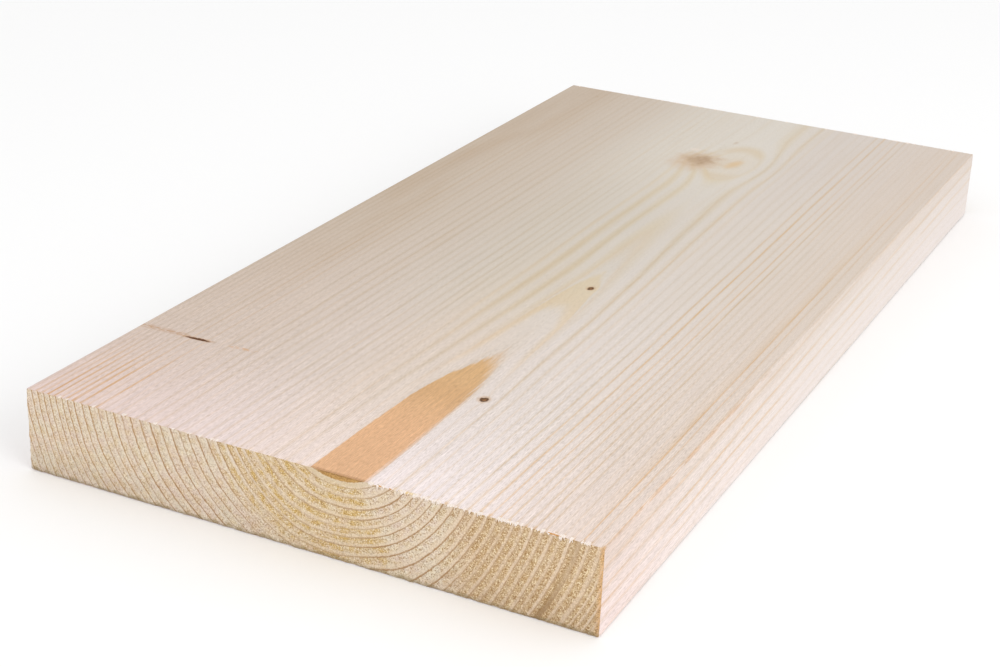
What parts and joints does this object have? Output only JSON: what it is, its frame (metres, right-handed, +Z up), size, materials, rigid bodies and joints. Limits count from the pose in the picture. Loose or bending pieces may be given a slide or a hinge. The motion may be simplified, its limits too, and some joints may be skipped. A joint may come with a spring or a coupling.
{
  "type": "timber plank",
  "caption": "Flat-sawn softwood plank, planed on its faces and edges, with eased long arrises and square sawn ends.",
  "frame": {"origin": "middle of the underside", "axes": "+Y along the grain, +X across the width, +Z up through the thickness"},
  "size_m": [0.195, 0.405, 0.028],
  "materials": {
    "spruce": "bare planed wood, matt"
  },
  "bodies": {
    "root": {"plank": "spruce"}
  },
  "joints": []
}
